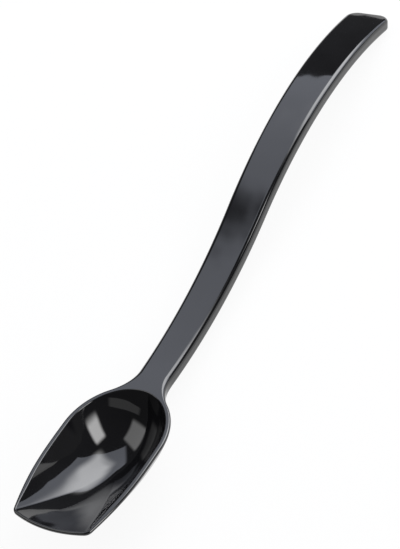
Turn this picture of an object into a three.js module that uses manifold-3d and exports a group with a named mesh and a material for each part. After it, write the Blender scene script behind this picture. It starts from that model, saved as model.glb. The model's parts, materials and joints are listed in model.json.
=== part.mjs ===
import * as THREE from 'three';
import { mergeVertices } from 'three/addons/utils/BufferGeometryUtils.js';
import ManifoldModule from 'manifold-3d';

// Salad serving spoon: a deep scoop with a square front edge on a gently waved flat handle,
// one black plastic moulding. It is drawn in the frame of its flat rim: X runs from the front
// corners to the handle, Z is up and the rim's top is z = 0. At the end it is tipped until the
// bowl and the handle's end both stand on the table. Millimetres and degrees.

// Bowl, seen from above
const TIP_WIDTH = 27.1; // between the front corners
const TIP_BOW = 2.5; // bulge of the front edge ahead of its corners
const TIP_CORNER = 1.5; // length of edge that each front corner rounds away
const TIP_OPENING = 15.3; // angle at which each side leaves the front corner
const BOWL_WIDTH = 35.8; // across the widest place
const BOWL_FRONT = 37.6; // from the front corners to the widest place
const BOWL_BACK = 21.9; // from the widest place to the back of the rim
const BACK_FULLNESS = 0.54; // 0.55 makes the back a half ellipse, more makes it squarer
const NECK_FILLET = 15.6; // radius of the hollow curve from the rim into the neck

// Bowl, seen from the side
const BOWL_DEPTH = 13.7; // inside, below the rim
const FLOOR_AT = 36.7; // from the front corners to the deepest place
const WALL = 1.7; // under the deepest place
const RIM_LAND = 1.75; // flat top of the rim along the sides and back
const TIP_LAND = 1.05; // flat top of the rim along the front edge
const LAND_GROWS = 12; // length over which the rim widens behind the front corners
const RIM_HEIGHT = 0.9; // upright outer face of the rim
const RIM_EDGE = 0.6; // rounding of the rim's outer edge
const LIP = 0.4; // rounding of the rim's inner edge
const SCOOP = 0.57; // how straight the floor runs out to the front edge
const SIDE_STEEPNESS = 0.43; // how upright the sides and the back end at the rim

// Handle
const NECK_WIDTH = 11.7;
const END_WIDTH = 17.5; // where the far end's corners begin
const HANDLE_THICK = 5;
const HANDLE_EDGE = 2.1; // rounding of the handle's upper and lower edges
const RISE_RADIUS = 191.5; // upward bend behind the neck
const RISE_ANGLE = 21.6; // steepest slope, where the bends meet
const CREST_RADIUS = 192.3; // downward bend that the hand holds
const END_DROOP = 13.3; // slope of the far end below the rim's plane
const END_CORNER = 5; // radius of the far end's corners, seen from above

const SEAM = 0.05; // depth to which the neck is fused into the rim
const BORE_OVER = 2; // how far the hollow's cutter stands above the rim

const rad = THREE.MathUtils.degToRad;
const v2 = (x, y) => new THREE.Vector2(x, y);

// Outline of the rim on the +Y side, from the middle of the front edge to the middle of the back
function rimOutline() {
  const w = TIP_WIDTH / 2;
  const frontRadius = (w * w + TIP_BOW * TIP_BOW) / (2 * TIP_BOW);
  const halfArc = Math.asin(w / frontRadius);
  const arcCut = TIP_CORNER / frontRadius;
  const front = new THREE.EllipseCurve(
    frontRadius - TIP_BOW, 0, frontRadius, frontRadius, Math.PI, Math.PI - halfArc + arcCut, true,
  );
  const reach = BOWL_FRONT * 0.4;
  const slope = Math.tan(rad(TIP_OPENING));
  const side = new THREE.CubicBezierCurve(
    v2(0, w),
    v2(reach, w + reach * slope),
    v2(BOWL_FRONT - reach, BOWL_WIDTH / 2),
    v2(BOWL_FRONT, BOWL_WIDTH / 2),
  );
  const sideCut = side.getUtoTmapping(0, TIP_CORNER);
  const corner = new THREE.QuadraticBezierCurve(front.getPoint(1), v2(0, w), side.getPoint(sideCut));
  const back = new THREE.CubicBezierCurve(
    v2(BOWL_FRONT, BOWL_WIDTH / 2),
    v2(BOWL_FRONT + BOWL_BACK * BACK_FULLNESS, BOWL_WIDTH / 2),
    v2(BOWL_FRONT + BOWL_BACK, (BOWL_WIDTH / 2) * BACK_FULLNESS),
    v2(BOWL_FRONT + BOWL_BACK, 0),
  );
  const points = [...front.getPoints(8), ...corner.getPoints(5).slice(1)];
  const sideSteps = 14;
  for (let i = 1; i <= sideSteps; i++) {
    points.push(side.getPoint(sideCut + ((1 - sideCut) * i) / sideSteps));
  }
  points.push(...back.getSpacedPoints(18).slice(1));
  return { points, back };
}

// Closed loop from a half outline, with the outward normal of every point
function closedLoop(half) {
  const mirrored = half.slice(1, -1).reverse().map((p) => v2(p.x, -p.y));
  const points = [...half, ...mirrored].reverse();
  const normals = points.map((p, i) => {
    const before = points[(i + points.length - 1) % points.length];
    const after = points[(i + 1) % points.length];
    const along = after.clone().sub(before).normalize();
    return v2(along.y, -along.x);
  });
  return { points, normals };
}

// Closed skin over rings of equally many points, with a fan over each end. A last ring whose two
// sides meet closes the skin by itself and gets no fan.
function skin(rings, lastMeets = false) {
  const n = rings[0].length;
  const positions = rings.flat().flatMap((p) => [p.x, p.y, p.z]);
  const index = [];
  for (let r = 0; r + 1 < rings.length; r++) {
    for (let i = 0; i < n; i++) {
      const a = r * n + i;
      const b = r * n + ((i + 1) % n);
      index.push(a, b, a + n, b, b + n, a + n);
    }
  }
  const cap = (ring, first, flip) => {
    const centre = new THREE.Vector3();
    ring.forEach((p) => centre.addScaledVector(p, 1 / n));
    positions.push(centre.x, centre.y, centre.z);
    const c = positions.length / 3 - 1;
    for (let i = 0; i < n; i++) {
      const a = first + i;
      const b = first + ((i + 1) % n);
      index.push(...(flip ? [b, a, c] : [a, b, c]));
    }
  };
  cap(rings[0], 0, true);
  if (!lastMeets) cap(rings[rings.length - 1], (rings.length - 1) * n, false);
  const geometry = new THREE.BufferGeometry();
  geometry.setAttribute('position', new THREE.Float32BufferAttribute(positions, 3));
  geometry.setIndex(index);
  const merged = mergeVertices(geometry, 1e-4);
  const corners = Array.from(merged.index.array);
  const kept = [];
  for (let i = 0; i < corners.length; i += 3) {
    const [a, b, c] = corners.slice(i, i + 3);
    if (a !== b && b !== c && c !== a) kept.push(a, b, c);
  }
  merged.setIndex(kept);
  return merged;
}

// Share of the depth that is left at the fraction s of the way from the deepest place to the rim:
// straight like a scoop towards the front, steep like a cup at the sides and the back
function floorRise(s, forward) {
  const scoop = (Math.hypot(1, SCOOP * s) - 1) / (Math.hypot(1, SCOOP) - 1);
  const cup = (1 - SIDE_STEEPNESS) * s ** 2 + SIDE_STEEPNESS * s ** 4;
  return scoop * forward ** 4 + cup * (1 - forward ** 4);
}

// Bowl-shaped rings under a loop at height top, down to bottom. The loop's corners fade away
// with depth, into an egg with the same length and width.
function bowlRings(loop, top, bottom, fractions) {
  const xs = loop.map((p) => p.x);
  const front = FLOOR_AT - Math.min(...xs);
  const back = Math.max(...xs) - FLOOR_AT;
  const side = Math.max(...loop.map((p) => p.y));
  return fractions.map((s) => loop.map((p) => {
    const angle = Math.atan2(p.y / side, (p.x - FLOOR_AT) / (p.x < FLOOR_AT ? front : back));
    const egg = v2(Math.cos(angle) * (p.x < FLOOR_AT ? front : back), Math.sin(angle) * side);
    const flat = v2(p.x - FLOOR_AT, p.y).multiplyScalar(s * s).addScaledVector(egg, 1 - s * s);
    const forward = Math.max(0, (FLOOR_AT - p.x) / Math.hypot(p.x - FLOOR_AT, p.y));
    const z = top + (bottom - top) * (1 - floorRise(s, forward));
    return new THREE.Vector3(FLOOR_AT + flat.x * s, flat.y * s, z);
  }));
}

const FRACTIONS = [1, 0.96, 0.9, 0.82, 0.73, 0.63, 0.52, 0.41, 0.3, 0.19, 0.09];
const quarter = (steps) => Array.from({ length: steps + 1 }, (_, i) => (i / steps) * (Math.PI / 2));

// Bowl as if it were solid: rounded upper edge, upright rim, then the outside of the cup
function bowlOutside(loop) {
  const inset = (d) => loop.points.map((p, i) => p.clone().addScaledVector(loop.normals[i], -d));
  const lift = (flat, z) => flat.map((p) => new THREE.Vector3(p.x, p.y, z));
  const edge = quarter(3).map(
    (a) => lift(inset(RIM_EDGE * (1 - Math.sin(a))), RIM_EDGE * (Math.cos(a) - 1)),
  );
  return skin([...edge, ...bowlRings(loop.points, -RIM_HEIGHT, -BOWL_DEPTH - WALL, FRACTIONS)].map(
    (ring) => ring.slice().reverse(),
  ));
}

// Cutter for the hollow: straight above the rim, rounded lip, then the inside of the cup
function bowlHollow(loop) {
  const inset = (more) => loop.points.map((p, i) => {
    const land = THREE.MathUtils.lerp(TIP_LAND, RIM_LAND, THREE.MathUtils.smoothstep(p.x, 0, LAND_GROWS));
    return p.clone().addScaledVector(loop.normals[i], more - land);
  });
  const lift = (flat, z) => flat.map((p) => new THREE.Vector3(p.x, p.y, z));
  const lip = quarter(3).slice(0, -1).map(
    (a) => lift(inset(LIP * (1 - Math.sin(a))), LIP * (Math.cos(a) - 1)),
  );
  const rings = [lift(inset(LIP), BORE_OVER), ...lip, ...bowlRings(inset(0), -LIP, -BOWL_DEPTH, FRACTIONS)];
  return skin(rings.map((ring) => ring.slice().reverse()));
}

// Half section of the neck and handle, from the flat top round to the flat underside, as pairs of
// inset (in from the outline) and height: a rounded upper edge, an upright side, and a lower edge
// that curves in by spread while it falls to the full thickness
function halfSection({ edge, spread, fall, thick }) {
  const upper = quarter(6).map((a) => (
    { inset: edge * (1 - Math.sin(a)), height: edge * (Math.cos(a) - 1) }
  ));
  const lower = quarter(6).map((a) => (
    { inset: spread * (1 - Math.cos(a)), height: fall - thick - fall * Math.sin(a) }
  ));
  return [...upper, ...lower];
}

// Whole section as a ring. The path passes (x, z) with the given slope, halfAt gives half the width
// there, and normal is the outline's outward direction: x along the path, y across it.
function sectionRing(half, { x, z, slope, halfAt, normal }) {
  const place = ({ inset, height }, sign) => {
    const along = -inset * normal.x;
    const px = x + along * Math.cos(slope) - height * Math.sin(slope);
    const pz = z + along * Math.sin(slope) + height * Math.cos(slope);
    return new THREE.Vector3(px, sign * (halfAt(px) - inset * normal.y), pz);
  };
  return [...half.map((p) => place(p, -1)), ...half.slice().reverse().map((p) => place(p, 1))];
}

const rim = rimOutline();
const neckHalf = NECK_WIDTH / 2;

// The neck's hollow curve touches the back of the rim, sunk by the seam, and the neck's side.
// Its centre is where a rim point moved out by the radius stands level with the neck's centre.
function neckCurve() {
  const centreFor = (t) => {
    const tangent = rim.back.getTangent(t);
    return rim.back.getPoint(t).addScaledVector(v2(-tangent.y, tangent.x), NECK_FILLET - SEAM);
  };
  let low = 0;
  let high = 1;
  for (let i = 0; i < 40; i++) {
    const mid = (low + high) / 2;
    if (centreFor(mid).y > neckHalf + NECK_FILLET) low = mid;
    else high = mid;
  }
  const centre = centreFor(low);
  const start = rim.back.getPoint(low);
  return { centre, from: Math.atan2(start.y - centre.y, start.x - centre.x) };
}

const neck = neckCurve();
const neckEnd = neck.centre.x;

// Neck: the section narrows along the hollow curve while its edge and its side grow from the
// rim's rounding and height to the handle's
function neckSolid() {
  const rings = [];
  const steps = 12;
  for (let i = 0; i <= steps; i++) {
    const t = i / steps;
    const angle = neck.from + (-Math.PI / 2 - neck.from) * t;
    const x = neckEnd + NECK_FILLET * Math.cos(angle);
    const half = neck.centre.y + NECK_FILLET * Math.sin(angle);
    const share = THREE.MathUtils.smoothstep(t, 0, 1);
    const edge = THREE.MathUtils.lerp(RIM_EDGE, HANDLE_EDGE, share);
    const fall = HANDLE_THICK - THREE.MathUtils.lerp(RIM_HEIGHT, HANDLE_THICK - HANDLE_EDGE, share);
    const section = halfSection({ edge, spread: half - neckHalf + HANDLE_EDGE, fall, thick: HANDLE_THICK });
    rings.push(sectionRing(section, { x, z: 0, slope: 0, halfAt: () => half, normal: v2(0, 1) }));
  }
  return skin(rings);
}

// Handle: two arcs in side view, planar sides that part evenly, and a straight end with round corners
const rise = rad(RISE_ANGLE);
const droop = rad(END_DROOP);
const crestX = neckEnd + (RISE_RADIUS + CREST_RADIUS) * Math.sin(rise);
const crestZ = (RISE_RADIUS + CREST_RADIUS) * (1 - Math.cos(rise));
const endX = crestX + CREST_RADIUS * Math.sin(droop);

// The end's corner arcs run from the planar sides into its straight edge
const cornerOff = END_WIDTH / 2 - END_CORNER;
const cornerSlope = -droop + END_CORNER / CREST_RADIUS;
const cornerX = crestX - CREST_RADIUS * Math.sin(cornerSlope);
const halfWidthAt = (x) => THREE.MathUtils.mapLinear(x, neckEnd, cornerX, neckHalf, END_WIDTH / 2);

function handleSolid() {
  const stations = [];
  const riseSteps = 10;
  for (let i = 0; i <= riseSteps; i++) {
    const slope = (rise * i) / riseSteps;
    const x = neckEnd + RISE_RADIUS * Math.sin(slope);
    const z = RISE_RADIUS * (1 - Math.cos(slope));
    stations.push({ x, z, slope, halfAt: halfWidthAt, normal: v2(0, 1) });
  }
  const onCrest = (slope, halfAt, normal) => {
    const x = crestX - CREST_RADIUS * Math.sin(slope);
    const z = crestZ - CREST_RADIUS * (1 - Math.cos(slope));
    stations.push({ x, z, slope, halfAt, normal });
  };
  const crestSteps = 14;
  for (let i = 1; i <= crestSteps; i++) {
    onCrest(rise + (cornerSlope - rise) * (i / crestSteps), halfWidthAt, v2(0, 1));
  }
  const atEnd = (back, half, normal) => onCrest(-droop + back / CREST_RADIUS, () => half, normal);
  const cornerSteps = 6;
  for (let i = 1; i <= cornerSteps; i++) {
    const a = (i / cornerSteps) * (Math.PI / 2);
    const half = cornerOff + END_CORNER * Math.cos(a);
    atEnd(END_CORNER * (1 - Math.sin(a)), half, v2(Math.sin(a), Math.cos(a)));
  }
  atEnd(0, 0, v2(1, 0));
  const section = halfSection({
    edge: HANDLE_EDGE, spread: HANDLE_EDGE, fall: HANDLE_EDGE, thick: HANDLE_THICK,
  });
  return skin(stations.map((station) => sectionRing(section, station)), true);
}

const wasm = await ManifoldModule();
wasm.setup();

function toManifold(geometry) {
  return new wasm.Manifold(new wasm.Mesh({
    numProp: 3,
    vertProperties: new Float32Array(geometry.attributes.position.array),
    triVerts: new Uint32Array(geometry.index.array),
  }));
}

function toGeometry(solid) {
  const mesh = solid.getMesh();
  const geometry = new THREE.BufferGeometry();
  geometry.setAttribute('position', new THREE.BufferAttribute(new Float32Array(mesh.vertProperties), 3));
  geometry.setIndex(new THREE.BufferAttribute(new Uint32Array(mesh.triVerts), 1));
  return geometry;
}

const loop = closedLoop(rim.points);
const bowlBlank = toManifold(bowlOutside(loop)).add(toManifold(neckSolid()));
const bowlShape = bowlBlank.subtract(toManifold(bowlHollow(loop)));

const named = (name, geometry) => {
  const material = new THREE.MeshStandardMaterial({ color: 0x0d0d0f, roughness: 0.12, metalness: 0 });
  const mesh = new THREE.Mesh(geometry, material);
  mesh.name = name;
  return mesh;
};
const bowl = named('bowl', toGeometry(bowlShape));
const handle = named('handle', handleSolid());

// Tip the spoon about Y until the bowl and the handle stand on the same level
const lowest = (mesh, tilt) => {
  const p = mesh.geometry.attributes.position;
  let low = Infinity;
  for (let i = 0; i < p.count; i++) {
    low = Math.min(low, p.getZ(i) * Math.cos(tilt) - p.getX(i) * Math.sin(tilt));
  }
  return low;
};
let flatter = 0;
let steeper = Math.PI / 4;
for (let i = 0; i < 50; i++) {
  const tilt = (flatter + steeper) / 2;
  if (lowest(handle, tilt) > lowest(bowl, tilt)) flatter = tilt;
  else steeper = tilt;
}

const spoon = new THREE.Group();
spoon.name = 'salad_serving_spoon';
spoon.add(bowl, handle);
spoon.rotation.y = flatter;
spoon.updateMatrixWorld(true);
const box = new THREE.Box3().setFromObject(spoon, true);
spoon.position.set(-(box.min.x + box.max.x) / 2, -(box.min.y + box.max.y) / 2, -box.min.z);
spoon.updateMatrixWorld(true);

export default spoon;
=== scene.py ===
import json
import math

import bmesh
import bpy
import numpy as np
from bpy.props import FloatProperty, FloatVectorProperty, PointerProperty
from mathutils import Matrix, Vector


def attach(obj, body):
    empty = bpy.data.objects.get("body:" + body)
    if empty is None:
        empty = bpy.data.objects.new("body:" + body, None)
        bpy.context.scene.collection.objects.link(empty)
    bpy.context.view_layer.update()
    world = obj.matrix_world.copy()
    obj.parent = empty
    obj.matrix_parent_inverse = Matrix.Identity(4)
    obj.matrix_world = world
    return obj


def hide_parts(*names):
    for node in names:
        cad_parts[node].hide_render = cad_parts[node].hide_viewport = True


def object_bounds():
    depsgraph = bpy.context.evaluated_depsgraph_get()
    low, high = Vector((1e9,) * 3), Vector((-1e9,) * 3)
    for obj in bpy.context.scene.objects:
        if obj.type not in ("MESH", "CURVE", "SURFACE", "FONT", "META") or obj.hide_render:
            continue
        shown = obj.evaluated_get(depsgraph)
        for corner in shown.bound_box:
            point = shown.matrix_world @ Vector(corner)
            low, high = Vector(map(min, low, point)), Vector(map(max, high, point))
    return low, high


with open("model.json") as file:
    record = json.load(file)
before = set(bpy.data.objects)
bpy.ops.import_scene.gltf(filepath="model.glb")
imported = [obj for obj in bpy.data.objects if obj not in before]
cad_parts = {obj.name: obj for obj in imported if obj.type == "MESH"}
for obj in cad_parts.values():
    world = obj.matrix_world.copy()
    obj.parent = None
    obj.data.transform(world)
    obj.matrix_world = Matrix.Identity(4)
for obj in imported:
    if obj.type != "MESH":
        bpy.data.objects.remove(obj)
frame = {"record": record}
CAD_BOX = [[float(v) for v in corner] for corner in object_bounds()]

bl_info = {
    "name": "Salad serving spoon",
    "version": (1, 0, 0),
    "blender": (4, 5, 0),
    "location": "3D View > Sidebar > Spoon",
    "description": "Deep square-fronted scoop on a gently waved handle, in glossy black plastic",
    "category": "Object",
}

# Shape that the sizes below leave open
SIDE_REACH = 0.4  # share of the front part over which the side's curve keeps each end's direction
NECK_HOLLOW = 0.0022  # softness of the hollow between the cup's outside and the neck's underside
HOLLOW_SHARE = 0.8  # most of the step between the two that the hollow takes
NO_HOLLOW = 1e-9  # softness that stands for none
LEAST_RUN = 1e-4  # keeps the hollow from meeting the rim at a right angle

# Meshes
SUPPORT = 0.00012  # width of the narrow strips that keep flat faces flat beside a rounded edge
STRIP_SHARE = 0.3  # most of the rim's flat width that such a strip takes
WELD = 2e-7  # points of neighbouring patches that lie closer than this become one
SLIVER = 1e-8  # faces narrower than this are dissolved
CURVE_SAMPLES = 2001  # for measuring along a curve
FRONT_POINTS = 18  # along half the front edge
CORNER_POINTS = 12  # round a front corner
SIDE_POINTS = 48  # from there to the widest place
BACK_POINTS = 34  # from there to the neck's hollow curve
NECK_POINTS = 26  # from there to the middle of the back
FLARE_POINTS = 30  # along the neck's hollow curve
INSIDE_RINGS = 56  # from the deepest place to the lip
OUTSIDE_RINGS = 60  # from the rim down to the deepest place
RING_POWER = 0.9  # below 1, the rings crowd less round the deepest place
LIP_POINTS = 7  # round the rim's inner edge
RIM_EDGE_POINTS = 8  # round the rim's outer edge
RIM_LEVELS = (0.25, 0.5, 0.75, 0.92, 1)  # down the rim's upright face
BAR_POINTS = 120  # along the handle
BAR_ACROSS = 13  # across the handle
BAR_EDGE_POINTS = 13  # round each of its long edges
END_CORNER_POINTS = 15  # round each corner of its far end

# Moulded skin
PATCH_DETAIL = 4.0  # octaves of the haze's noise
RIPPLE_DETAIL = 1.0  # octaves of the ripple's noise
HAZE_FROM, HAZE_TO = 0.35, 0.7  # levels of the noise between which the haze grows to its full

# Stage
AIM = Vector((0, 0, 0.02))  # place on the spoon that the lights are set up around
STAND_DISTANCE = 1.5  # from there to the plane of each light panel
NO_FADE = ((0, 0), (0, 0))  # for a light panel that is as bright at its ends as in its middle
FLOOR_REACH = 8.0  # half the width of the floor
FLOOR_UPSTAND = 0.25  # height of the edge that closes the floor off against the dark room
FLOOR_WHITE = 0.92  # share of plain white in the floor as it is seen; the rest keeps the shadow
CAMERA_NEAR = 0.01  # distance from the camera at which it begins to see


# ---------------------------------------------------------------------------------- properties

def length(name, description, default):
    return FloatProperty(
        name=name, description=description, default=default, min=0.0, precision=5, unit="LENGTH",
    )


def angle(name, description, degrees):
    return FloatProperty(
        name=name, description=description, default=math.radians(degrees), precision=3,
        unit="ROTATION",
    )


def factor(name, description, default, top=1.0):
    return FloatProperty(
        name=name, description=description, default=default, min=0.0, max=top, subtype="FACTOR",
    )


def colour(name, description, default):
    return FloatVectorProperty(
        name=name, description=description, default=default, min=0.0, max=1.0, size=3,
        subtype="COLOR",
    )


def number(name, description, default, low=0.0):
    return FloatProperty(name=name, description=description, default=default, min=low)


class BowlSizes(bpy.types.PropertyGroup):
    """Sizes of the bowl, in the frame of its flat rim"""

    tip_width: length("Front edge", "Between the front corners", 0.0271)
    tip_bow: length("Front bow", "Bulge of the front edge ahead of its corners", 0.0025)
    tip_corner: length("Front corner", "Length of edge that each front corner rounds away", 0.0015)
    tip_opening: angle("Front opening", "Angle at which each side leaves the front corner", 15.3)
    width: length("Width", "Across the widest place", 0.0358)
    front: length("Front part", "From the front corners to the widest place", 0.0376)
    back: length("Back part", "From the widest place to the back of the rim", 0.0219)
    fullness: factor(
        "Back fullness", "0.55 makes the back a half ellipse, more makes it squarer", 0.54,
    )
    neck_fillet: length(
        "Neck curve", "Radius of the hollow curve from the rim into the neck", 0.0156,
    )
    depth: length("Depth", "Inside, below the rim", 0.0137)
    floor_at: length("Deepest place", "From the front corners to the deepest place", 0.0367)
    wall: length("Wall", "Thickness under the deepest place", 0.0017)
    rim_land: length("Rim", "Flat top of the rim along the sides and back", 0.00175)
    tip_land: length("Front rim", "Flat top of the rim along the front edge", 0.00105)
    land_grows: length(
        "Rim growth", "Length over which the rim widens behind the front corners", 0.012,
    )
    rim_height: length("Rim height", "Upright outer face of the rim", 0.0009)
    edge: length("Rim edge", "Rounding of the rim's outer edge", 0.0006)
    lip: length("Lip", "Rounding of the rim's inner edge", 0.0004)
    scoop: factor("Scoop", "How straight the floor runs out to the front edge", 0.57, 4.0)
    steepness: factor("Side steepness", "How upright the sides and the back end at the rim", 0.43)


class HandleSizes(bpy.types.PropertyGroup):
    """Sizes of the handle"""

    neck_width: length("Neck width", "Where the handle leaves the bowl's neck", 0.0117)
    end_width: length("End width", "Where the far end's corners begin", 0.0175)
    thick: length("Thickness", "From the flat top to the flat underside", 0.005)
    edge: length("Edge", "Rounding of the upper and lower edges", 0.0016)
    rise_radius: length("Rise radius", "Upward bend behind the neck", 0.1915)
    rise_angle: angle("Rise", "Steepest slope, where the two bends meet", 21.6)
    crest_radius: length("Crest radius", "Downward bend that the hand holds", 0.1923)
    end_droop: angle("Droop", "Slope of the far end below the rim's plane", 13.3)
    end_corner: length("End corner", "Radius of the far end's corners", 0.005)


class PlasticFinish(bpy.types.PropertyGroup):
    """Finish of the moulded plastic"""

    colour: colour("Colour", "Black of the moulding", (0.004, 0.004, 0.0045))
    bloom: colour("Bloom", "Slightly paler patches that handling leaves", (0.007, 0.007, 0.008))
    roughness: factor("Roughness", "Roughness of the cleanest patches", 0.03)
    haze: factor("Haze", "Roughness that the dullest patches add", 0.04)
    patch_scale: number("Patch scale", "Fineness of the patches of haze", 45.0)
    ripple: length("Ripple", "Height of the faint waves that cooling leaves in the skin", 0.00011)
    ripple_scale: number("Ripple scale", "Fineness of those waves", 90.0)
    ior: number("Refraction", "Refractive index of the plastic", 1.6, 1.0)


class StudioStage(bpy.types.PropertyGroup):
    """Floor, light and camera"""

    floor: colour("Floor", "Colour of the pale floor", (0.82, 0.82, 0.82))
    surround: colour("Surround", "Grey of the room around the lights", (0.07, 0.07, 0.074))
    camera_at: FloatVectorProperty(
        name="Camera", description="Where the camera stands", default=(-0.29968, -0.23689, 0.40684),
        size=3, subtype="TRANSLATION", unit="LENGTH",
    )
    heading: angle("Heading", "Direction of view, from +X towards +Y", 40.38)
    pitch: angle("Pitch", "Direction of view, below the horizon", 46.817)
    roll: angle("Roll", "Turn of the camera about its own view", -19.474)
    lens: number("Lens", "Focal length in millimetres", 104.96, 1.0)


# --------------------------------------------------------------------------------- shared work

def skin_mesh(name, patches, caps, attribute=None):
    """One closed mesh from grids of points that meet along their edges, and flat end caps"""
    bm = bmesh.new()
    layer = bm.verts.layers.float.new(attribute) if attribute else None

    def corner(p):
        vertex = bm.verts.new(p[:3])
        if layer:
            vertex[layer] = p[3]
        return vertex

    for patch in patches:
        rows = [[corner(p) for p in row] for row in patch]
        for low, high in zip(rows, rows[1:]):
            for i in range(len(low) - 1):
                bm.faces.new((low[i], low[i + 1], high[i + 1], high[i]))
    flat = [bm.faces.new([corner(p) for p in cap]) for cap in caps]
    bmesh.ops.remove_doubles(bm, verts=bm.verts, dist=WELD)
    bmesh.ops.dissolve_degenerate(bm, edges=bm.edges, dist=SLIVER)
    open_edges = [e for e in bm.edges if len(e.link_faces) != 2]
    if open_edges:
        place = open_edges[0].verts[0].co
        raise RuntimeError(f"{name}: {len(open_edges)} open edges in the skin, first at {place}")
    bmesh.ops.recalc_face_normals(bm, faces=bm.faces)
    if bm.calc_volume(signed=True) < 0:
        bmesh.ops.reverse_faces(bm, faces=bm.faces)
    for face in bm.faces:
        face.smooth = True
    for face in flat:
        if face.is_valid:
            face.smooth = False
            for edge in face.edges:
                edge.smooth = False
    mesh = bpy.data.meshes.new(name)
    bm.to_mesh(mesh)
    bm.free()
    return mesh


def rim_to_row(bowl):
    """Turn and shift from the rim's frame to the frame in which the spoon lies on the table"""
    mount = next(m for m in frame["record"]["mounts"] if m["name"] == "rim_top")
    up = Vector(mount["axis"]).normalized()
    tilt = math.atan2(up.x, up.z)
    shift_x = CAD_BOX[0][0] + bowl.tip_bow * math.cos(tilt) + bowl.rim_height * math.sin(tilt)
    shift_z = (up.dot(Vector(mount["pos_m"])) - up.x * shift_x) / up.z
    return Matrix.Translation((shift_x, 0, shift_z)) @ Matrix.Rotation(tilt, 4, "Y")


def add_piece(mesh, node, finish):
    """Object at the origin that stands for a CAD node and takes the plastic's finish"""
    piece = bpy.data.objects.new(mesh.name, mesh)
    bpy.context.scene.collection.objects.link(piece)
    mesh.materials.clear()
    mesh.materials.append(finish)
    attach(piece, "root")
    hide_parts(node)


def smoothstep(t):
    """Soft step from 0 to 1 as t goes from 0 to 1"""
    t = np.clip(t, 0, 1)
    return t * t * (3 - 2 * t)


def calc(tree, operation, *values):
    """Math node on numbers or sockets"""
    node = tree.nodes.new("ShaderNodeMath")
    node.operation = operation
    for socket, value in zip(node.inputs, values):
        if isinstance(value, (int, float)):
            socket.default_value = value
        else:
            tree.links.new(value, socket)
    return node.outputs[0]


# -------------------------------------------------------------------------------------- outline

def left_of(along):
    """Unit normals to the left of directions"""
    along = along / np.linalg.norm(along, axis=1)[:, None]
    return np.stack([-along[:, 1], along[:, 0]], axis=1)


def bezier(corners, t):
    """Points and outward normals of a cubic curve that runs from the front to the back"""
    a, b, c, d = (np.array(p) for p in corners)
    t = np.asarray(t)[:, None]
    u = 1 - t
    points = u**3 * a + 3 * u * u * t * b + 3 * u * t * t * c + t**3 * d
    along = u * u * (b - a) + 2 * u * t * (c - b) + t * t * (d - c)
    return points, left_of(along)


def rim_half(bowl, neck_half):
    """Half outline of the rim from the middle of the front to the middle of the back, its normals,
    the index at which the neck's hollow curve leaves it, and that curve's centre"""
    w = bowl.tip_width / 2
    radius = (w * w + bowl.tip_bow**2) / (2 * bowl.tip_bow)
    turn = np.linspace(0, math.asin(w / radius) - bowl.tip_corner / radius, FRONT_POINTS)
    front_n = np.stack([-np.cos(turn), np.sin(turn)], axis=1)
    front = front_n * radius + (radius - bowl.tip_bow, 0)

    reach = SIDE_REACH * bowl.front
    half = bowl.width / 2
    opened = w + reach * math.tan(bowl.tip_opening)
    side_curve = ((0, w), (reach, opened), (bowl.front - reach, half), (bowl.front, half))
    dense = np.linspace(0, 1, CURVE_SAMPLES)
    walked = np.linalg.norm(np.diff(bezier(side_curve, dense)[0], axis=0), axis=1).cumsum()
    start = float(np.interp(bowl.tip_corner, np.insert(walked, 0, 0), dense))
    side, side_n = bezier(side_curve, np.linspace(start, 1, SIDE_POINTS))

    t = np.linspace(0, 1, CORNER_POINTS)[1:-1, None]
    sharp = np.array((0, w))
    corner = (1 - t) ** 2 * front[-1] + 2 * t * (1 - t) * sharp + t**2 * side[0]
    corner_n = left_of((1 - t) * (sharp - front[-1]) + t * (side[0] - sharp))

    end = bowl.front + bowl.back
    back_curve = (
        (bowl.front, half), (bowl.front + bowl.back * bowl.fullness, half),
        (end, half * bowl.fullness), (end, 0),
    )
    points, normals = bezier(back_curve, dense)
    centres = points + normals * bowl.neck_fillet
    leave = float(np.interp(-(neck_half + bowl.neck_fillet), -centres[:, 1], dense))
    to_neck, to_neck_n = bezier(back_curve, np.linspace(0, leave, BACK_POINTS)[1:])
    centre = to_neck[-1] + to_neck_n[-1] * bowl.neck_fillet
    levels = to_neck[-1, 1] * np.sin(np.linspace(math.pi / 2, 0, NECK_POINTS))[1:]
    behind = np.interp(-levels, -points[:, 1], dense)
    neck, neck_n = bezier(back_curve, behind)

    outline = np.concatenate([front, corner, side, to_neck, neck])
    outline_n = np.concatenate([front_n, corner_n, side_n, to_neck_n, neck_n])
    outline[-1, 1] = 0
    leaves = len(outline) - len(neck) - 1
    return outline, outline_n, leaves, centre


def closed(half, mirror):
    """Whole loop from a half, with its first column repeated at the end"""
    return np.concatenate([half, (half * mirror)[-2::-1]])


# ----------------------------------------------------------------------------------------- bowl

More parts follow.
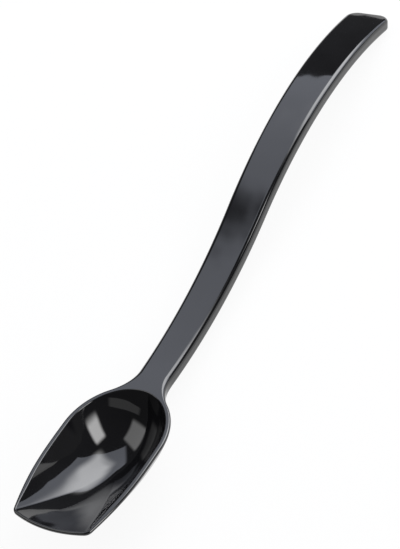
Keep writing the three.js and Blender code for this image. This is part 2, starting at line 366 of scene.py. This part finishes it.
class Cup:
    """Rule of the bowl's hollow and of its outside: straight like a scoop towards the front, steep
    like a cup at the sides and the back, with the outline's corners fading away with depth"""

    def __init__(self, bowl, loop):
        self.bowl = bowl
        self.middle = np.array((bowl.floor_at, 0.0))
        self.ray = loop - self.middle
        front = -self.ray[:, 0].min()
        back = self.ray[:, 0].max()
        side = self.ray[:, 1].max()
        reach = np.where(self.ray[:, 0] < 0, front, back)
        turn = np.arctan2(self.ray[:, 1] / side, self.ray[:, 0] / reach)
        self.egg = np.stack([np.cos(turn) * reach, np.sin(turn) * side], axis=1)
        self.forward = np.maximum(0, -self.ray[:, 0] / np.linalg.norm(self.ray, axis=1)) ** 4

    def rise(self, s):
        """Height between the deepest place, 0, and the rim, 1, at the share s of the way out"""
        scoop = (math.hypot(1, self.bowl.scoop * s) - 1) / (math.hypot(1, self.bowl.scoop) - 1)
        steep = self.bowl.steepness
        cup = (1 - steep) * s**2 + steep * s**4
        return scoop * self.forward + cup * (1 - self.forward)

    def slope_at_rim(self, normals, depth):
        """Angle at which the hollow meets the rim, square to the outline"""
        full = math.hypot(1, self.bowl.scoop)
        scoop = self.bowl.scoop**2 / (full * (full - 1))
        steep = self.bowl.steepness
        cup = 2 * (1 - steep) + 4 * steep
        fall = depth * (scoop * self.forward + cup * (1 - self.forward))
        run = ((3 * self.ray - 2 * self.egg) * normals).sum(axis=1)
        return np.arctan2(fall, np.maximum(run, LEAST_RUN))

    def ring(self, s, top, bottom):
        """Points all round at the share s of the way from the deepest place to the outline"""
        flat = s * s * self.ray + (1 - s * s) * self.egg
        points = self.middle + flat * s
        height = bottom + (top - bottom) * self.rise(s)
        return np.column_stack([points, height])


class SPOON_OT_bowl(bpy.types.Operator):
    """Bowl with its rounded rim, and the neck that runs out of the back of the rim"""

    bl_idname = "spoon.bowl"
    bl_label = "Bowl"

    def execute(self, context):
        bowl = context.scene.spoon_bowl
        handle = context.scene.spoon_handle
        neck_half = handle.neck_width / 2
        half, half_n, leaves, centre = rim_half(bowl, neck_half)
        loop = closed(half, (1, -1))
        normals = closed(half_n, (1, -1))
        count = len(loop)

        # Hollow, lip and flat rim
        widened = smoothstep(loop[:, 0] / bowl.land_grows)
        land = bowl.tip_land + (bowl.rim_land - bowl.tip_land) * widened
        wall_turn = Cup(bowl, loop - normals * land[:, None]).slope_at_rim(normals, bowl.depth)
        inset = land - bowl.lip * (1 - np.sin(wall_turn))
        inside = Cup(bowl, loop - normals * inset[:, None])
        lip_foot = -bowl.lip * (1 - np.cos(wall_turn))
        spacing = np.sin(np.linspace(0, math.pi / 2, INSIDE_RINGS)) ** RING_POWER
        rows = [inside.ring(s, lip_foot, -bowl.depth) for s in spacing]
        for share in np.linspace(1, 0, LIP_POINTS)[1:]:
            turn = wall_turn * share
            across = land - bowl.lip * (1 - np.sin(turn))
            height = -bowl.lip * (1 - np.cos(turn))
            rows.append(np.column_stack([loop - normals * across[:, None], height]))
        spare = np.clip(STRIP_SHARE * (land - bowl.lip - bowl.edge), 0, SUPPORT)
        flat_from = land - bowl.lip - spare
        flat_to = bowl.edge + spare
        for across in (flat_from, flat_to):
            rows.append(np.column_stack([loop - normals * across[:, None], np.zeros(count)]))
        hollow = np.array(rows)

        # Neck's hollow curve from the rim to the handle, and the whole outer edge
        away = half[leaves] - centre
        start = math.atan2(away[1], away[0])
        turns = start + (-math.pi / 2 - start) * np.linspace(0, 1, FLARE_POINTS)
        flare_n = -np.stack([np.cos(turns), np.sin(turns)], axis=1)
        flare = centre - flare_n * bowl.neck_fillet
        upright = handle.thick - handle.edge
        grown = smoothstep(np.linspace(0, 1, FLARE_POINTS))
        flare_side = bowl.rim_height + (upright - bowl.rim_height) * grown
        flare_edge = bowl.edge + (handle.edge - bowl.edge) * grown
        flare_flat = flare_edge + spare[leaves]
        mirror = np.array((1, -1))
        edge = np.concatenate([
            (flare * mirror)[:0:-1], (half * mirror)[leaves:0:-1],
            half[:leaves + 1], flare[1:],
        ])
        edge_n = np.concatenate([
            (flare_n * mirror)[:0:-1], (half_n * mirror)[leaves:0:-1],
            half_n[:leaves + 1], flare_n[1:],
        ])
        rim_flat = np.concatenate([flat_to[leaves:0:-1], flat_to[:leaves + 1]])

        def along_edge(on_rim, on_flare):
            """Values from one end of the neck round the rim to the other"""
            rim = np.broadcast_to(on_rim, 2 * leaves + 1)
            return np.concatenate([on_flare[:0:-1], rim, on_flare[1:]])

        side = along_edge(bowl.rim_height, flare_side)
        rounding = along_edge(bowl.edge, flare_edge)

        def edge_row(across, height):
            """Points along the outer edge at one inset and height"""
            across = np.broadcast_to(across, side.shape)[:, None]
            return np.column_stack([edge - edge_n * across, np.broadcast_to(height, side.shape)])

        turns = np.linspace(0, math.pi / 2, RIM_EDGE_POINTS)
        rows = [edge_row(along_edge(rim_flat, flare_flat), 0)]
        rows += [
            edge_row(rounding * (1 - math.sin(a)), -rounding * (1 - math.cos(a))) for a in turns
        ]
        left = side - rounding
        rows += [edge_row(0, -rounding - left * share) for share in RIM_LEVELS]
        outer_edge = np.array(rows)

        # Flat top of the neck, and its underside, which rounds in from the upright sides
        first = leaves
        last = count - 1 - leaves
        core = (neck_half - handle.edge) / flare[:, 1]

        def neck_patch(across):
            """Grid in plan from the rim to the handle, inset from the neck's edges, and the share
            of the half width at which each of its columns runs"""
            ends = flare - flare_n * across[:, None]
            rim = loop[first:last + 1] - normals[first:last + 1] * across[0]
            share = rim[:, 1] / ends[0, 1]
            run = (ends[:, 0] - ends[0, 0]) / (ends[-1, 0] - ends[0, 0])
            x = ends[:, 0, None] + (rim[:, 0] - ends[0, 0]) * (1 - run[:, None])
            return np.stack([x, share * ends[:, 1, None]], axis=2), share

        flat = neck_patch(flare_flat)[0]
        neck_top = np.concatenate([flat, np.zeros(flat.shape[:2] + (1,))], axis=2)
        flat, share = neck_patch(np.zeros(len(flare)))
        over = np.maximum(0, (abs(share) - core[:, None]) / (1 - core[:, None]))
        swell = np.sqrt(np.maximum(0, 1 - over**2))
        deep = flare_side[:, None] + (handle.thick - flare_side[:, None]) * swell
        neck_under = np.concatenate([flat, -deep[:, :, None]], axis=2)

        # Outside of the cup, which runs into the neck's underside in a soft hollow
        outside = Cup(bowl, loop)
        under = np.full(count, bowl.rim_height)
        under[first:last + 1] = deep[0]
        soft = np.minimum(NECK_HOLLOW, HOLLOW_SHARE * (under - bowl.rim_height)) + NO_HOLLOW
        rows = []
        for s in np.sin(np.linspace(math.pi / 2, 0, OUTSIDE_RINGS)) ** RING_POWER:
            ring = outside.ring(s, -bowl.rim_height, -bowl.depth - bowl.wall)
            gap = np.clip(0.5 + 0.5 * (-ring[:, 2] - under) / soft, 0, 1)
            ring[:, 2] = -(under * (1 - gap) - ring[:, 2] * gap + soft * gap * (1 - gap))
            rows.append(ring)
        cup = np.array(rows)

        # Flat end where the handle goes on
        end_cap = list(neck_top[-1]) + list(outer_edge[1:, 0]) + list(neck_under[-1, ::-1])[1:-1]
        end_cap += list(outer_edge[:0:-1, -1])
        mesh = skin_mesh("bowl_skin", [hollow, outer_edge, neck_top, neck_under, cup], [end_cap])
        mesh.transform(rim_to_row(bowl))
        add_piece(mesh, "bowl", plastic_material(context.scene.spoon_finish))
        return {"FINISHED"}


# --------------------------------------------------------------------------------------- handle

def bend_tree(finish):
    """Geometry Nodes that bend a straight bar along two arcs, up and over, and taper it"""
    tree = bpy.data.node_groups.new("handle_bend", "GeometryNodeTree")
    tree.is_modifier = True
    tree.interface.new_socket("Geometry", in_out="INPUT", socket_type="NodeSocketGeometry")
    for name in (
        "Neck End", "Rise Radius", "Rise Angle", "Crest Radius", "Corner Start",
        "Neck Half", "End Half",
    ):
        tree.interface.new_socket(name, in_out="INPUT", socket_type="NodeSocketFloat")
    tree.interface.new_socket("Geometry", in_out="OUTPUT", socket_type="NodeSocketGeometry")
    nodes, links = tree.nodes, tree.links
    given = nodes.new("NodeGroupInput").outputs
    split = nodes.new("ShaderNodeSeparateXYZ")
    links.new(nodes.new("GeometryNodeInputPosition").outputs[0], split.inputs[0])
    along, across, height = split.outputs

    rise, r1, r2 = given["Rise Angle"], given["Rise Radius"], given["Crest Radius"]
    meet = calc(tree, "MULTIPLY", r1, rise)
    on_rise = calc(tree, "LESS_THAN", along, meet)
    past = calc(tree, "DIVIDE", calc(tree, "SUBTRACT", along, meet), r2)
    eased = calc(tree, "SUBTRACT", rise, past)
    slope = calc(tree, "MINIMUM", calc(tree, "DIVIDE", along, r1), eased)
    sine, cosine = calc(tree, "SINE", slope), calc(tree, "COSINE", slope)
    fall = calc(tree, "SUBTRACT", 1.0, cosine)
    both = calc(tree, "ADD", r1, r2)
    crest_x = calc(tree, "MULTIPLY", both, calc(tree, "SINE", rise))
    crest_z = calc(tree, "MULTIPLY", both, calc(tree, "SUBTRACT", 1.0, calc(tree, "COSINE", rise)))

    def pick(rising, falling):
        """One value up to where the arcs meet, the other past it"""
        node = nodes.new("ShaderNodeMix")
        node.data_type = "FLOAT"
        links.new(on_rise, node.inputs["Factor"])
        links.new(falling, node.inputs["A"])
        links.new(rising, node.inputs["B"])
        return node.outputs["Result"]

    over_x = calc(tree, "SUBTRACT", crest_x, calc(tree, "MULTIPLY", r2, sine))
    over_z = calc(tree, "SUBTRACT", crest_z, calc(tree, "MULTIPLY", r2, fall))
    path_x = pick(calc(tree, "MULTIPLY", r1, sine), over_x)
    path_z = pick(calc(tree, "MULTIPLY", r1, fall), over_z)
    run = calc(tree, "SUBTRACT", path_x, calc(tree, "MULTIPLY", height, sine))
    taper = nodes.new("ShaderNodeMapRange")
    taper.clamp = True
    for socket, value in (
        ("Value", run), ("From Max", given["Corner Start"]),
        ("To Min", given["Neck Half"]), ("To Max", given["End Half"]),
    ):
        links.new(value, taper.inputs[socket])
    edge_share = nodes.new("GeometryNodeInputNamedAttribute")
    edge_share.data_type = "FLOAT"
    edge_share.inputs["Name"].default_value = "edge_share"
    narrower = calc(tree, "SUBTRACT", taper.outputs["Result"], given["End Half"])
    place = nodes.new("ShaderNodeCombineXYZ")
    links.new(calc(tree, "ADD", given["Neck End"], run), place.inputs["X"])
    tapered = calc(tree, "MULTIPLY_ADD", edge_share.outputs["Attribute"], narrower, across)
    links.new(tapered, place.inputs["Y"])
    links.new(calc(tree, "MULTIPLY_ADD", height, cosine, path_z), place.inputs["Z"])
    bent = nodes.new("GeometryNodeSetPosition")
    links.new(given["Geometry"], bent.inputs["Geometry"])
    links.new(place.outputs[0], bent.inputs["Position"])
    real = nodes.new("GeometryNodeRealizeInstances")
    links.new(bent.outputs[0], real.inputs[0])
    coat = nodes.new("GeometryNodeSetMaterial")
    coat.inputs["Material"].default_value = finish
    links.new(real.outputs[0], coat.inputs["Geometry"])
    links.new(coat.outputs[0], nodes.new("NodeGroupOutput").inputs[0])
    return tree


class SPOON_OT_handle(bpy.types.Operator):
    """Handle: a flat bar with rounded edges and corners, bent along two arcs by Geometry Nodes"""

    bl_idname = "spoon.handle"
    bl_label = "Handle"

    def straight_bar(self, handle, total):
        """Bar along X with its top at z = 0. The fourth number of each point says how far it goes
        with the taper of the sides, from -1 at one edge to 1 at the other."""
        end_half = handle.end_width / 2
        corner_at = total - handle.end_corner
        turns = np.linspace(0, math.pi / 2, END_CORNER_POINTS)[1:]
        ahead = np.linspace(0, corner_at, BAR_POINTS)
        outline = np.concatenate([
            np.column_stack([ahead, np.full(len(ahead), end_half)]),
            np.column_stack([
                corner_at + handle.end_corner * np.sin(turns),
                end_half - handle.end_corner * (1 - np.cos(turns)),
            ]),
        ])
        normals = np.concatenate([
            np.tile((0.0, 1.0), (len(ahead), 1)),
            np.column_stack([np.sin(turns), np.cos(turns)]),
        ])
        steps = np.linspace(1, -1, BAR_ACROSS)

        def row(across, height):
            """Both edges and the far end at one inset and height"""
            one = outline - normals * across
            one = np.column_stack([one, np.full(len(one), height), outline[:, 1] / end_half])
            other = one[::-1] * (1, -1, 1, -1)
            x, y, _, share = one[-1]
            end = np.array([(x, y * w, height, share * w) for w in steps[1:-1]])
            return np.concatenate([one, end, other])

        def plate(edge):
            """Flat face inside a row, from the neck to the far end"""
            n = len(outline)
            one, other = edge[:n], edge[:-n - 1:-1]
            weight = (1 - steps[None, :, None]) / 2
            return one[:, None] * (1 - weight) + other[:, None] * weight

        quarter = np.linspace(0, math.pi / 2, BAR_EDGE_POINTS)
        edge = handle.edge
        upright = handle.thick - edge
        rows = [row(edge + SUPPORT, 0.0)]
        rows += [row(edge * (1 - math.sin(a)), -edge * (1 - math.cos(a))) for a in quarter]
        rows += [row(0, -edge - SUPPORT), row(0, SUPPORT - upright)]
        rows += [row(edge * (1 - math.cos(a)), -upright - edge * math.sin(a)) for a in quarter]
        rows.append(row(edge + SUPPORT, -handle.thick))
        sides = np.array(rows)
        top, under = plate(rows[0]), plate(rows[-1])
        cap = list(top[0]) + list(sides[1:, -1]) + list(under[0, ::-1])[1:]
        cap += list(sides[-2:0:-1, 0])
        return skin_mesh("handle_skin", [sides, top, under], [cap], "edge_share")

    def execute(self, context):
        bowl = context.scene.spoon_bowl
        handle = context.scene.spoon_handle
        finish = plastic_material(context.scene.spoon_finish)
        neck_end = rim_half(bowl, handle.neck_width / 2)[3][0]
        total = handle.rise_radius * handle.rise_angle
        total += handle.crest_radius * (handle.rise_angle + handle.end_droop)
        corner_slope = handle.end_corner / handle.crest_radius - handle.end_droop
        corner_start = (handle.rise_radius + handle.crest_radius) * math.sin(handle.rise_angle)
        corner_start -= handle.crest_radius * math.sin(corner_slope)

        bar = bpy.data.objects.new("straight_bar", self.straight_bar(handle, total))
        context.scene.collection.objects.link(bar)
        modifier = bar.modifiers.new("bend", "NODES")
        modifier.node_group = bend_tree(finish)
        sizes = {
            "Neck End": float(neck_end), "Rise Radius": handle.rise_radius,
            "Rise Angle": handle.rise_angle, "Crest Radius": handle.crest_radius,
            "Corner Start": corner_start, "Neck Half": handle.neck_width / 2,
            "End Half": handle.end_width / 2,
        }
        for item in modifier.node_group.interface.items_tree:
            if item.in_out == "INPUT" and item.name in sizes:
                modifier[item.identifier] = sizes[item.name]
        context.view_layer.update()
        bent = bar.evaluated_get(context.evaluated_depsgraph_get())
        mesh = bpy.data.meshes.new_from_object(bent)
        old = bar.data
        bpy.data.objects.remove(bar)
        bpy.data.meshes.remove(old)
        mesh.name = "handle_skin"
        mesh.transform(rim_to_row(bowl))
        add_piece(mesh, "handle", finish)
        return {"FINISHED"}


# ------------------------------------------------------------------------------------- material

def moulding_group():
    """Faint unevenness of a moulded plastic skin: patches of haze and slow ripples from cooling"""
    group = bpy.data.node_groups.get("moulded_skin")
    if group:
        return group
    group = bpy.data.node_groups.new("moulded_skin", "ShaderNodeTree")
    for name in ("Patch Scale", "Ripple Scale"):
        group.interface.new_socket(name, in_out="INPUT", socket_type="NodeSocketFloat")
    for name in ("Haze", "Ripple"):
        group.interface.new_socket(name, in_out="OUTPUT", socket_type="NodeSocketFloat")
    nodes, links = group.nodes, group.links
    given = nodes.new("NodeGroupInput").outputs
    place = nodes.new("ShaderNodeTexCoord").outputs["Object"]
    patches = nodes.new("ShaderNodeTexNoise")
    patches.inputs["Detail"].default_value = PATCH_DETAIL
    links.new(place, patches.inputs["Vector"])
    links.new(given["Patch Scale"], patches.inputs["Scale"])
    spread = nodes.new("ShaderNodeMapRange")
    spread.inputs["From Min"].default_value = HAZE_FROM
    spread.inputs["From Max"].default_value = HAZE_TO
    links.new(patches.outputs["Fac"], spread.inputs["Value"])
    waves = nodes.new("ShaderNodeTexNoise")
    waves.inputs["Detail"].default_value = RIPPLE_DETAIL
    links.new(place, waves.inputs["Vector"])
    links.new(given["Ripple Scale"], waves.inputs["Scale"])
    out = nodes.new("NodeGroupOutput")
    links.new(spread.outputs["Result"], out.inputs["Haze"])
    links.new(waves.outputs["Fac"], out.inputs["Ripple"])
    return group


def plastic_material(finish):
    """Glossy black plastic, made once and shared by both pieces"""
    material = bpy.data.materials.get("glossy_black_plastic")
    if material:
        return material
    material = bpy.data.materials.new("glossy_black_plastic")
    material.use_nodes = True
    nodes, links = material.node_tree.nodes, material.node_tree.links
    shader = nodes["Principled BSDF"]
    shader.inputs["IOR"].default_value = finish.ior
    skin = nodes.new("ShaderNodeGroup")
    skin.node_tree = moulding_group()
    skin.inputs["Patch Scale"].default_value = finish.patch_scale
    skin.inputs["Ripple Scale"].default_value = finish.ripple_scale
    tint = nodes.new("ShaderNodeMix")
    tint.data_type = "RGBA"
    tint.inputs["A"].default_value = (*finish.colour, 1)
    tint.inputs["B"].default_value = (*finish.bloom, 1)
    links.new(skin.outputs["Haze"], tint.inputs["Factor"])
    links.new(tint.outputs["Result"], shader.inputs["Base Color"])
    dull = nodes.new("ShaderNodeMapRange")
    dull.inputs["To Min"].default_value = finish.roughness
    dull.inputs["To Max"].default_value = finish.roughness + finish.haze
    links.new(skin.outputs["Haze"], dull.inputs["Value"])
    links.new(dull.outputs["Result"], shader.inputs["Roughness"])
    bump = nodes.new("ShaderNodeBump")
    bump.inputs["Strength"].default_value = 1.0
    bump.inputs["Distance"].default_value = finish.ripple
    links.new(skin.outputs["Ripple"], bump.inputs["Height"])
    links.new(bump.outputs["Normal"], shader.inputs["Normal"])
    return material


# ---------------------------------------------------------------------------------------- stage

def direction(heading, up):
    """Unit vector along a heading, from +X towards +Y, and an angle above the horizon"""
    level = math.cos(up)
    return Vector((math.cos(heading) * level, math.sin(heading) * level, math.sin(up)))


def add_panel(name, towards, shift, half, turn, level, reach=1.0, fade=NO_FADE, tint=(1, 1, 1)):
    """Soft light panel on a stand in the direction (heading, height above the horizon), shifted on
    the stand's plane. Shift and half sizes are shares of the panel's distance, angles are in
    degrees, level is the panel's brightness, where 1 shows as white, and reach is its share of the
    stand's distance: panels that overlap stand one behind the other. Fade holds, for both ends of
    the panel's width and height, the share over which it dims towards that end, and tint is its
    colour."""
    heading, up = (math.radians(a) for a in towards)
    way = direction(heading, up)
    level_side = Vector((-math.sin(heading), math.cos(heading), 0))
    stand = Matrix((level_side, way.cross(level_side), way)).transposed()
    lamp = bpy.data.lights.new(name, "AREA")
    lamp.shape = "RECTANGLE"
    lamp.size, lamp.size_y = (2 * share * reach * STAND_DISTANCE for share in half)
    lamp.color = tint
    lamp.energy = level * math.pi * lamp.size * lamp.size_y
    if fade != NO_FADE:
        lamp.use_nodes = True
        tree = lamp.node_tree
        split = tree.nodes.new("ShaderNodeSeparateXYZ")
        on_panel = tree.nodes.new("ShaderNodeNewGeometry").outputs["Parametric"]
        tree.links.new(on_panel, split.inputs[0])
        strength = 1.0
        for axis, shares in zip("XY", fade):
            for end, share in enumerate(shares):
                if share:
                    dim = tree.nodes.new("ShaderNodeMapRange")
                    dim.interpolation_type = "SMOOTHSTEP"
                    dim.inputs["From Min"].default_value = end
                    dim.inputs["From Max"].default_value = 1 - share if end else share
                    tree.links.new(split.outputs[axis], dim.inputs["Value"])
                    strength = calc(tree, "MULTIPLY", dim.outputs["Result"], strength)
        tree.links.new(strength, tree.nodes["Emission"].inputs["Strength"])
    panel = bpy.data.objects.new(name, lamp)
    place = AIM + stand @ Vector((*shift, 1)) * (reach * STAND_DISTANCE)
    facing = stand @ Matrix.Rotation(math.radians(turn), 3, "Z")
    panel.matrix_world = Matrix.Translation(place) @ facing.to_4x4()
    bpy.context.scene.collection.objects.link(panel)


def paper_material(tone):
    """Pale paper, mostly plain white where the camera or a reflection sees it and otherwise lit, so
    that it keeps the spoon's shadow. From below it is clear."""
    paper = bpy.data.materials.new("pale_paper")
    paper.use_nodes = True
    tree = paper.node_tree
    nodes, links = tree.nodes, tree.links
    nodes.clear()
    ray = nodes.new("ShaderNodeLightPath").outputs
    seen = calc(tree, "MAXIMUM", ray["Is Camera Ray"], ray["Is Glossy Ray"])
    seen = calc(tree, "MAXIMUM", seen, ray["Is Transmission Ray"])
    white = nodes.new("ShaderNodeEmission")
    lit = nodes.new("ShaderNodeBsdfDiffuse")
    lit.inputs["Color"].default_value = (*tone, 1)
    mix = nodes.new("ShaderNodeMixShader")
    links.new(calc(tree, "MULTIPLY", seen, FLOOR_WHITE), mix.inputs[0])
    links.new(lit.outputs[0], mix.inputs[1])
    links.new(white.outputs[0], mix.inputs[2])
    below = nodes.new("ShaderNodeMixShader")
    links.new(nodes.new("ShaderNodeNewGeometry").outputs["Backfacing"], below.inputs[0])
    links.new(mix.outputs[0], below.inputs[1])
    links.new(nodes.new("ShaderNodeBsdfTransparent").outputs[0], below.inputs[2])
    links.new(below.outputs[0], nodes.new("ShaderNodeOutputMaterial").inputs[0])
    return paper


def add_floor(tone):
    """Wide square floor with a low upstand all round"""
    mesh = bpy.data.meshes.new("floor")
    corners = [
        (x * FLOOR_REACH, y * FLOOR_REACH, z)
        for z in (0, FLOOR_UPSTAND)
        for x, y in ((-1, -1), (1, -1), (1, 1), (-1, 1))
    ]
    upstands = [(i, i + 4, (i + 1) % 4 + 4, (i + 1) % 4) for i in range(4)]
    mesh.from_pydata(corners, [], [(0, 1, 2, 3), *upstands])
    mesh.materials.append(paper_material(tone))
    floor = bpy.data.objects.new("floor", mesh)
    bpy.context.scene.collection.objects.link(floor)


def add_camera(stage):
    """Camera that stands where the photograph was taken from"""
    ahead = direction(stage.heading, -stage.pitch)
    level = ahead.cross(Vector((0, 0, 1))).normalized()
    turn = Matrix((level, level.cross(ahead), -ahead)).transposed()
    turn = turn @ Matrix.Rotation(stage.roll, 3, "Z")
    camera_data = bpy.data.cameras.new("photo_camera")
    camera_data.lens = stage.lens
    camera_data.clip_start = CAMERA_NEAR
    camera = bpy.data.objects.new("photo_camera", camera_data)
    camera.matrix_world = Matrix.Translation(stage.camera_at) @ turn.to_4x4()
    bpy.context.scene.collection.objects.link(camera)
    return camera


class SPOON_OT_stage(bpy.types.Operator):
    """Pale floor, soft studio light and the camera"""

    bl_idname = "spoon.stage"
    bl_label = "Stage"

    def execute(self, context):
        scene = context.scene
        stage = scene.spoon_stage
        add_floor(stage.floor)
        world = bpy.data.worlds.new("studio")
        world.use_nodes = True
        world.node_tree.nodes["Background"].inputs["Color"].default_value = (*stage.surround, 1)
        scene.world = world
        add_panel(
            "wide_panel", towards=(-20, 52), shift=(0.304, -0.183), half=(0.469, 0.956),
            turn=-36.3, level=1.37, fade=((0, 0), (0, 0.12)), tint=(0.95, 1.0, 1.14),
        )
        add_panel(
            "key_panel", towards=(-20, 52), shift=(0.19, -0.25), half=(0.6, 0.45),
            turn=5.0, level=5.0, reach=0.98, fade=((0.3, 0.3), (0.32, 0.32)),
        )
        add_panel(
            "side_panel", towards=(-88, 30), shift=(0.045, 0.0), half=(0.25, 0.43),
            turn=-20.7, level=7.0, reach=0.94, fade=((0.25, 0.25), (0.25, 0.25)),
        )
        add_panel(
            "back_panel", towards=(130, 50), shift=(-0.19, 0.11), half=(0.56, 0.42),
            turn=32.2, level=1.9, reach=1.02, fade=((0.17, 0.17), (0.17, 0.17)),
        )
        add_panel(
            "fill_panel", towards=(-175, 33), shift=(0.2, -0.01), half=(0.9, 0.09),
            turn=-6.0, level=0.4, reach=0.92, fade=((0.15, 0.15), (0, 0)),
        )
        scene.camera = add_camera(stage)
        scene.view_settings.view_transform = "Standard"
        return {"FINISHED"}


class SPOON_PT_panel(bpy.types.Panel):
    """Sizes, finish and stage of the spoon"""

    bl_idname = "SPOON_PT_panel"
    bl_label = "Salad serving spoon"
    bl_space_type = "VIEW_3D"
    bl_region_type = "UI"
    bl_category = "Spoon"

    def draw(self, context):
        scene = context.scene
        for group, operator in (
            (scene.spoon_bowl, "spoon.bowl"), (scene.spoon_handle, "spoon.handle"),
            (scene.spoon_finish, None), (scene.spoon_stage, "spoon.stage"),
        ):
            box = self.layout.box()
            for name in group.__annotations__:
                box.prop(group, name)
            if operator:
                box.operator(operator)


CLASSES = (
    BowlSizes, HandleSizes, PlasticFinish, StudioStage,
    SPOON_OT_bowl, SPOON_OT_handle, SPOON_OT_stage, SPOON_PT_panel,
)
GROUPS = {
    "spoon_bowl": BowlSizes, "spoon_handle": HandleSizes,
    "spoon_finish": PlasticFinish, "spoon_stage": StudioStage,
}


def register():
    for cls in CLASSES:
        bpy.utils.register_class(cls)
    for name, group in GROUPS.items():
        setattr(bpy.types.Scene, name, PointerProperty(type=group))


def unregister():
    for name in GROUPS:
        delattr(bpy.types.Scene, name)
    for cls in reversed(CLASSES):
        bpy.utils.unregister_class(cls)


def main():
    register()
    bpy.ops.spoon.bowl()
    bpy.ops.spoon.handle()
    bpy.ops.spoon.stage()
    bpy.context.view_layer.update()


if __name__ == "__main__":
    main()
